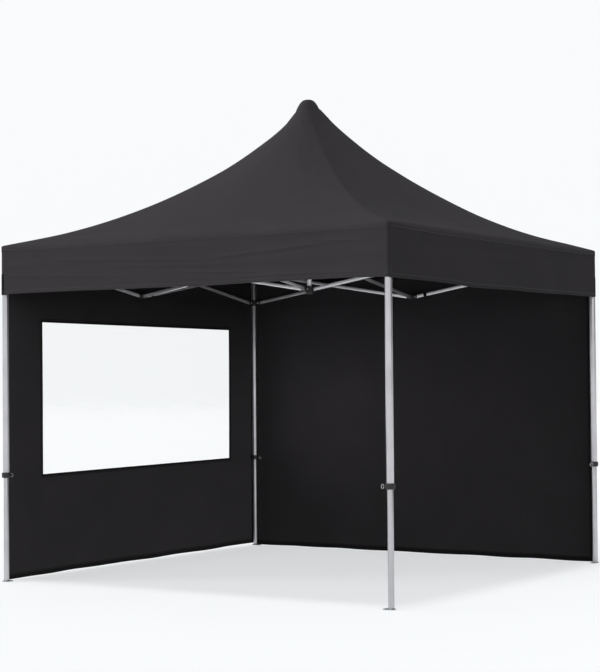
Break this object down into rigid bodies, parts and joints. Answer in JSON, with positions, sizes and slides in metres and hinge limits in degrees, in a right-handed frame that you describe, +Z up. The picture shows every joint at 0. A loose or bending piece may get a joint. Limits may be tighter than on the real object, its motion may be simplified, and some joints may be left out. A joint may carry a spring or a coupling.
{
  "type": "folding party tent with two side walls",
  "caption": "Square pop-up party tent with a pointed black canopy, silver scissor frame, clear window wall, plain back wall and sliding legs.",
  "frame": {"origin": "on the ground at the middle of the four legs", "axes": "+Z up, the open front faces -Y, the open right side faces +X, the window wall is at -X and the plain wall at +Y"},
  "size_m": [3.0062, 3.0062, 3.242],
  "materials": {
    "polyester": "matt coated black cloth",
    "clear_vinyl": "clear flexible sheet",
    "bar_aluminium": "satin",
    "leg_aluminium": "satin anodised",
    "black_plastic": "moulded"
  },
  "bodies": {
    "canopy_and_hub": {"hub_upper": "black_plastic", "canopy_roof": "polyester", "valance": "polyester", "left_wall": "polyester", "window_pane": "clear_vinyl", "back_wall": "polyester"},
    "front_inner_falling_bar": {"front_inner_bar_from_upper_hub": "bar_aluminium"},
    "front_inner_rising_bar": {"front_inner_bar_from_lower_hub": "bar_aluminium"},
    "front_mid_upper": {"front_mid_bracket_upper": "black_plastic"},
    "front_mid_lower": {"front_mid_bracket_lower": "black_plastic"},
    "lower_hub": {"hub_lower": "black_plastic", "mast": "leg_aluminium"},
    "front_first_slider_bar": {"front_first_bar_from_slider": "bar_aluminium"},
    "front_first_leg_top_bar": {"front_first_bar_from_leg_top": "bar_aluminium"},
    "front_left_leg": {"front_left_outer_leg": "leg_aluminium", "front_left_top_bracket": "black_plastic", "front_left_leg_lock": "black_plastic"},
    "front_left_slider_ring": {"front_left_slider": "black_plastic"},
    "front_left_leg_extension": {"front_left_inner_leg": "leg_aluminium"},
    "front_second_slider_bar": {"front_second_bar_from_slider": "bar_aluminium"},
    "front_second_leg_top_bar": {"front_second_bar_from_leg_top": "bar_aluminium"},
    "right_inner_falling_bar": {"right_inner_bar_from_upper_hub": "bar_aluminium"},
    "right_inner_rising_bar": {"right_inner_bar_from_lower_hub": "bar_aluminium"},
    "right_mid_upper": {"right_mid_bracket_upper": "black_plastic"},
    "right_mid_lower": {"right_mid_bracket_lower": "black_plastic"},
    "right_first_slider_bar": {"right_first_bar_from_slider": "bar_aluminium"},
    "right_first_leg_top_bar": {"right_first_bar_from_leg_top": "bar_aluminium"},
    "front_right_leg": {"front_right_outer_leg": "leg_aluminium", "front_right_top_bracket": "black_plastic", "front_right_leg_lock": "black_plastic"},
    "front_right_slider_ring": {"front_right_slider": "black_plastic"},
    "front_right_leg_extension": {"front_right_inner_leg": "leg_aluminium"},
    "right_second_slider_bar": {"right_second_bar_from_slider": "bar_aluminium"},
    "right_second_leg_top_bar": {"right_second_bar_from_leg_top": "bar_aluminium"},
    "back_inner_falling_bar": {"back_inner_bar_from_upper_hub": "bar_aluminium"},
    "back_inner_rising_bar": {"back_inner_bar_from_lower_hub": "bar_aluminium"},
    "back_mid_upper": {"back_mid_bracket_upper": "black_plastic"},
    "back_mid_lower": {"back_mid_bracket_lower": "black_plastic"},
    "back_first_slider_bar": {"back_first_bar_from_slider": "bar_aluminium"},
    "back_first_leg_top_bar": {"back_first_bar_from_leg_top": "bar_aluminium"},
    "back_right_leg": {"back_right_outer_leg": "leg_aluminium", "back_right_top_bracket": "black_plastic", "back_right_leg_lock": "black_plastic"},
    "back_right_slider_ring": {"back_right_slider": "black_plastic"},
    "back_right_leg_extension": {"back_right_inner_leg": "leg_aluminium"},
    "back_second_slider_bar": {"back_second_bar_from_slider": "bar_aluminium"},
    "back_second_leg_top_bar": {"back_second_bar_from_leg_top": "bar_aluminium"},
    "left_inner_falling_bar": {"left_inner_bar_from_upper_hub": "bar_aluminium"},
    "left_inner_rising_bar": {"left_inner_bar_from_lower_hub": "bar_aluminium"},
    "left_mid_upper": {"left_mid_bracket_upper": "black_plastic"},
    "left_mid_lower": {"left_mid_bracket_lower": "black_plastic"},
    "left_first_slider_bar": {"left_first_bar_from_slider": "bar_aluminium"},
    "left_first_leg_top_bar": {"left_first_bar_from_leg_top": "bar_aluminium"},
    "back_left_leg": {"back_left_outer_leg": "leg_aluminium", "back_left_top_bracket": "black_plastic", "back_left_leg_lock": "black_plastic"},
    "back_left_slider_ring": {"back_left_slider": "black_plastic"},
    "back_left_leg_extension": {"back_left_inner_leg": "leg_aluminium"},
    "left_second_slider_bar": {"left_second_bar_from_slider": "bar_aluminium"},
    "left_second_leg_top_bar": {"left_second_bar_from_leg_top": "bar_aluminium"}
  },
  "joints": [
    {"name": "fold", "type": "hinge", "parent": "canopy_and_hub", "child": "front_inner_falling_bar", "pos_m": [0, -0.048, 2.17], "axis": [1, 0, 0], "range_deg": [0, 77]},
    {"name": "front_inner_crossing", "type": "hinge", "parent": "front_inner_falling_bar", "child": "front_inner_rising_bar", "pos_m": [0, -0.739, 2.055], "axis": [1, 0, 0], "range_deg": [-154, 0]},
    {"name": "front_inner_to_mid_upper", "type": "hinge", "parent": "front_inner_rising_bar", "child": "front_mid_upper", "pos_m": [0, -1.43, 2.17], "axis": [1, 0, 0], "range_deg": [0, 77]},
    {"name": "front_inner_to_mid_lower", "type": "hinge", "parent": "front_inner_falling_bar", "child": "front_mid_lower", "pos_m": [0, -1.43, 1.94], "axis": [1, 0, 0], "range_deg": [-77, 0]},
    {"name": "lower_hub_pivot", "type": "hinge", "parent": "front_inner_rising_bar", "child": "lower_hub", "pos_m": [0, -0.048, 1.94], "axis": [1, 0, 0], "range_deg": [0, 77]},
    {"name": "front_first_mid_pivot", "type": "hinge", "parent": "front_mid_upper", "child": "front_first_slider_bar", "pos_m": [-0.03, -1.46, 2.17], "axis": [0, -1, 0], "range_deg": [0, 77]},
    {"name": "front_first_crossing", "type": "hinge", "parent": "front_first_slider_bar", "child": "front_first_leg_top_bar", "pos_m": [-0.721, -1.46, 2.055], "axis": [0, -1, 0], "range_deg": [-154, 0]},
    {"name": "front_left_leg_top_pivot", "type": "hinge", "parent": "front_first_leg_top_bar", "child": "front_left_leg", "pos_m": [-1.412, -1.46, 2.17], "axis": [0, -1, 0], "range_deg": [0, 77]},
    {"name": "front_left_slider_pivot", "type": "hinge", "parent": "front_first_slider_bar", "child": "front_left_slider_ring", "pos_m": [-1.412, -1.46, 1.94], "axis": [0, -1, 0], "range_deg": [-77, 0]},
    {"name": "front_left_leg_slide", "type": "slide", "parent": "front_left_leg", "child": "front_left_leg_extension", "axis": [0, 0, 1], "range_m": [0, 0.6]},
    {"name": "front_second_mid_pivot", "type": "hinge", "parent": "front_mid_upper", "child": "front_second_slider_bar", "pos_m": [0.03, -1.46, 2.17], "axis": [0, 1, 0], "range_deg": [0, 77]},
    {"name": "front_second_crossing", "type": "hinge", "parent": "front_second_slider_bar", "child": "front_second_leg_top_bar", "pos_m": [0.721, -1.46, 2.055], "axis": [0, 1, 0], "range_deg": [-154, 0]},
    {"name": "right_inner_fold", "type": "hinge", "parent": "canopy_and_hub", "child": "right_inner_falling_bar", "pos_m": [0.048, 0, 2.17], "axis": [0, 1, 0], "range_deg": [0, 77]},
    {"name": "right_inner_crossing", "type": "hinge", "parent": "right_inner_falling_bar", "child": "right_inner_rising_bar", "pos_m": [0.739, 0, 2.055], "axis": [0, 1, 0], "range_deg": [-154, 0]},
    {"name": "right_inner_to_mid_upper", "type": "hinge", "parent": "right_inner_rising_bar", "child": "right_mid_upper", "pos_m": [1.43, 0, 2.17], "axis": [0, 1, 0], "range_deg": [0, 77]},
    {"name": "right_inner_to_mid_lower", "type": "hinge", "parent": "right_inner_falling_bar", "child": "right_mid_lower", "pos_m": [1.43, 0, 1.94], "axis": [0, 1, 0], "range_deg": [-77, 0]},
    {"name": "right_first_mid_pivot", "type": "hinge", "parent": "right_mid_upper", "child": "right_first_slider_bar", "pos_m": [1.46, -0.03, 2.17], "axis": [1, 0, 0], "range_deg": [0, 77]},
    {"name": "right_first_crossing", "type": "hinge", "parent": "right_first_slider_bar", "child": "right_first_leg_top_bar", "pos_m": [1.46, -0.721, 2.055], "axis": [1, 0, 0], "range_deg": [-154, 0]},
    {"name": "front_right_leg_top_pivot", "type": "hinge", "parent": "right_first_leg_top_bar", "child": "front_right_leg", "pos_m": [1.46, -1.412, 2.17], "axis": [1, 0, 0], "range_deg": [0, 77]},
    {"name": "front_right_slider_pivot", "type": "hinge", "parent": "right_first_slider_bar", "child": "front_right_slider_ring", "pos_m": [1.46, -1.412, 1.94], "axis": [1, 0, 0], "range_deg": [-77, 0]},
    {"name": "front_right_leg_slide", "type": "slide", "parent": "front_right_leg", "child": "front_right_leg_extension", "axis": [0, 0, 1], "range_m": [0, 0.6]},
    {"name": "right_second_mid_pivot", "type": "hinge", "parent": "right_mid_upper", "child": "right_second_slider_bar", "pos_m": [1.46, 0.03, 2.17], "axis": [-1, 0, 0], "range_deg": [0, 77]},
    {"name": "right_second_crossing", "type": "hinge", "parent": "right_second_slider_bar", "child": "right_second_leg_top_bar", "pos_m": [1.46, 0.721, 2.055], "axis": [-1, 0, 0], "range_deg": [-154, 0]},
    {"name": "back_inner_fold", "type": "hinge", "parent": "canopy_and_hub", "child": "back_inner_falling_bar", "pos_m": [0, 0.048, 2.17], "axis": [-1, 0, 0], "range_deg": [0, 77]},
    {"name": "back_inner_crossing", "type": "hinge", "parent": "back_inner_falling_bar", "child": "back_inner_rising_bar", "pos_m": [0, 0.739, 2.055], "axis": [-1, 0, 0], "range_deg": [-154, 0]},
    {"name": "back_inner_to_mid_upper", "type": "hinge", "parent": "back_inner_rising_bar", "child": "back_mid_upper", "pos_m": [0, 1.43, 2.17], "axis": [-1, 0, 0], "range_deg": [0, 77]},
    {"name": "back_inner_to_mid_lower", "type": "hinge", "parent": "back_inner_falling_bar", "child": "back_mid_lower", "pos_m": [0, 1.43, 1.94], "axis": [-1, 0, 0], "range_deg": [-77, 0]},
    {"name": "back_first_mid_pivot", "type": "hinge", "parent": "back_mid_upper", "child": "back_first_slider_bar", "pos_m": [0.03, 1.46, 2.17], "axis": [0, 1, 0], "range_deg": [0, 77]},
    {"name": "back_first_crossing", "type": "hinge", "parent": "back_first_slider_bar", "child": "back_first_leg_top_bar", "pos_m": [0.721, 1.46, 2.055], "axis": [0, 1, 0], "range_deg": [-154, 0]},
    {"name": "back_right_leg_top_pivot", "type": "hinge", "parent": "back_first_leg_top_bar", "child": "back_right_leg", "pos_m": [1.412, 1.46, 2.17], "axis": [0, 1, 0], "range_deg": [0, 77]},
    {"name": "back_right_slider_pivot", "type": "hinge", "parent": "back_first_slider_bar", "child": "back_right_slider_ring", "pos_m": [1.412, 1.46, 1.94], "axis": [0, 1, 0], "range_deg": [-77, 0]},
    {"name": "back_right_leg_slide", "type": "slide", "parent": "back_right_leg", "child": "back_right_leg_extension", "axis": [0, 0, 1], "range_m": [0, 0.6]},
    {"name": "back_second_mid_pivot", "type": "hinge", "parent": "back_mid_upper", "child": "back_second_slider_bar", "pos_m": [-0.03, 1.46, 2.17], "axis": [0, -1, 0], "range_deg": [0, 77]},
    {"name": "back_second_crossing", "type": "hinge", "parent": "back_second_slider_bar", "child": "back_second_leg_top_bar", "pos_m": [-0.721, 1.46, 2.055], "axis": [0, -1, 0], "range_deg": [-154, 0]},
    {"name": "left_inner_fold", "type": "hinge", "parent": "canopy_and_hub", "child": "left_inner_falling_bar", "pos_m": [-0.048, 0, 2.17], "axis": [0, -1, 0], "range_deg": [0, 77]},
    {"name": "left_inner_crossing", "type": "hinge", "parent": "left_inner_falling_bar", "child": "left_inner_rising_bar", "pos_m": [-0.739, 0, 2.055], "axis": [0, -1, 0], "range_deg": [-154, 0]},
    {"name": "left_inner_to_mid_upper", "type": "hinge", "parent": "left_inner_rising_bar", "child": "left_mid_upper", "pos_m": [-1.43, 0, 2.17], "axis": [0, -1, 0], "range_deg": [0, 77]},
    {"name": "left_inner_to_mid_lower", "type": "hinge", "parent": "left_inner_falling_bar", "child": "left_mid_lower", "pos_m": [-1.43, 0, 1.94], "axis": [0, -1, 0], "range_deg": [-77, 0]},
    {"name": "left_first_mid_pivot", "type": "hinge", "parent": "left_mid_upper", "child": "left_first_slider_bar", "pos_m": [-1.46, 0.03, 2.17], "axis": [-1, 0, 0], "range_deg": [0, 77]},
    {"name": "left_first_crossing", "type": "hinge", "parent": "left_first_slider_bar", "child": "left_first_leg_top_bar", "pos_m": [-1.46, 0.721, 2.055], "axis": [-1, 0, 0], "range_deg": [-154, 0]},
    {"name": "back_left_leg_top_pivot", "type": "hinge", "parent": "left_first_leg_top_bar", "child": "back_left_leg", "pos_m": [-1.46, 1.412, 2.17], "axis": [-1, 0, 0], "range_deg": [0, 77]},
    {"name": "back_left_slider_pivot", "type": "hinge", "parent": "left_first_slider_bar", "child": "back_left_slider_ring", "pos_m": [-1.46, 1.412, 1.94], "axis": [-1, 0, 0], "range_deg": [-77, 0]},
    {"name": "back_left_leg_slide", "type": "slide", "parent": "back_left_leg", "child": "back_left_leg_extension", "axis": [0, 0, 1], "range_m": [0, 0.6]},
    {"name": "left_second_mid_pivot", "type": "hinge", "parent": "left_mid_upper", "child": "left_second_slider_bar", "pos_m": [-1.46, -0.03, 2.17], "axis": [1, 0, 0], "range_deg": [0, 77]},
    {"name": "left_second_crossing", "type": "hinge", "parent": "left_second_slider_bar", "child": "left_second_leg_top_bar", "pos_m": [-1.46, -0.721, 2.055], "axis": [1, 0, 0], "range_deg": [-154, 0]}
  ],
  "couplings": [
    {"joint": "front_inner_crossing", "follows": "fold", "ratio": -2},
    {"joint": "front_inner_to_mid_upper", "follows": "fold", "ratio": 1},
    {"joint": "front_inner_to_mid_lower", "follows": "fold", "ratio": -1},
    {"joint": "lower_hub_pivot", "follows": "fold", "ratio": 1},
    {"joint": "front_first_mid_pivot", "follows": "fold", "ratio": 1},
    {"joint": "front_first_crossing", "follows": "fold", "ratio": -2},
    {"joint": "front_left_leg_top_pivot", "follows": "fold", "ratio": 1},
    {"joint": "front_left_slider_pivot", "follows": "fold", "ratio": -1},
    {"joint": "front_second_mid_pivot", "follows": "fold", "ratio": 1},
    {"joint": "front_second_crossing", "follows": "fold", "ratio": -2},
    {"joint": "right_inner_fold", "follows": "fold", "ratio": 1},
    {"joint": "right_inner_crossing", "follows": "fold", "ratio": -2},
    {"joint": "right_inner_to_mid_upper", "follows": "fold", "ratio": 1},
    {"joint": "right_inner_to_mid_lower", "follows": "fold", "ratio": -1},
    {"joint": "right_first_mid_pivot", "follows": "fold", "ratio": 1},
    {"joint": "right_first_crossing", "follows": "fold", "ratio": -2},
    {"joint": "front_right_leg_top_pivot", "follows": "fold", "ratio": 1},
    {"joint": "front_right_slider_pivot", "follows": "fold", "ratio": -1},
    {"joint": "right_second_mid_pivot", "follows": "fold", "ratio": 1},
    {"joint": "right_second_crossing", "follows": "fold", "ratio": -2},
    {"joint": "back_inner_fold", "follows": "fold", "ratio": 1},
    {"joint": "back_inner_crossing", "follows": "fold", "ratio": -2},
    {"joint": "back_inner_to_mid_upper", "follows": "fold", "ratio": 1},
    {"joint": "back_inner_to_mid_lower", "follows": "fold", "ratio": -1},
    {"joint": "back_first_mid_pivot", "follows": "fold", "ratio": 1},
    {"joint": "back_first_crossing", "follows": "fold", "ratio": -2},
    {"joint": "back_right_leg_top_pivot", "follows": "fold", "ratio": 1},
    {"joint": "back_right_slider_pivot", "follows": "fold", "ratio": -1},
    {"joint": "back_second_mid_pivot", "follows": "fold", "ratio": 1},
    {"joint": "back_second_crossing", "follows": "fold", "ratio": -2},
    {"joint": "left_inner_fold", "follows": "fold", "ratio": 1},
    {"joint": "left_inner_crossing", "follows": "fold", "ratio": -2},
    {"joint": "left_inner_to_mid_upper", "follows": "fold", "ratio": 1},
    {"joint": "left_inner_to_mid_lower", "follows": "fold", "ratio": -1},
    {"joint": "left_first_mid_pivot", "follows": "fold", "ratio": 1},
    {"joint": "left_first_crossing", "follows": "fold", "ratio": -2},
    {"joint": "back_left_leg_top_pivot", "follows": "fold", "ratio": 1},
    {"joint": "back_left_slider_pivot", "follows": "fold", "ratio": -1},
    {"joint": "left_second_mid_pivot", "follows": "fold", "ratio": 1},
    {"joint": "left_second_crossing", "follows": "fold", "ratio": -2}
  ]
}
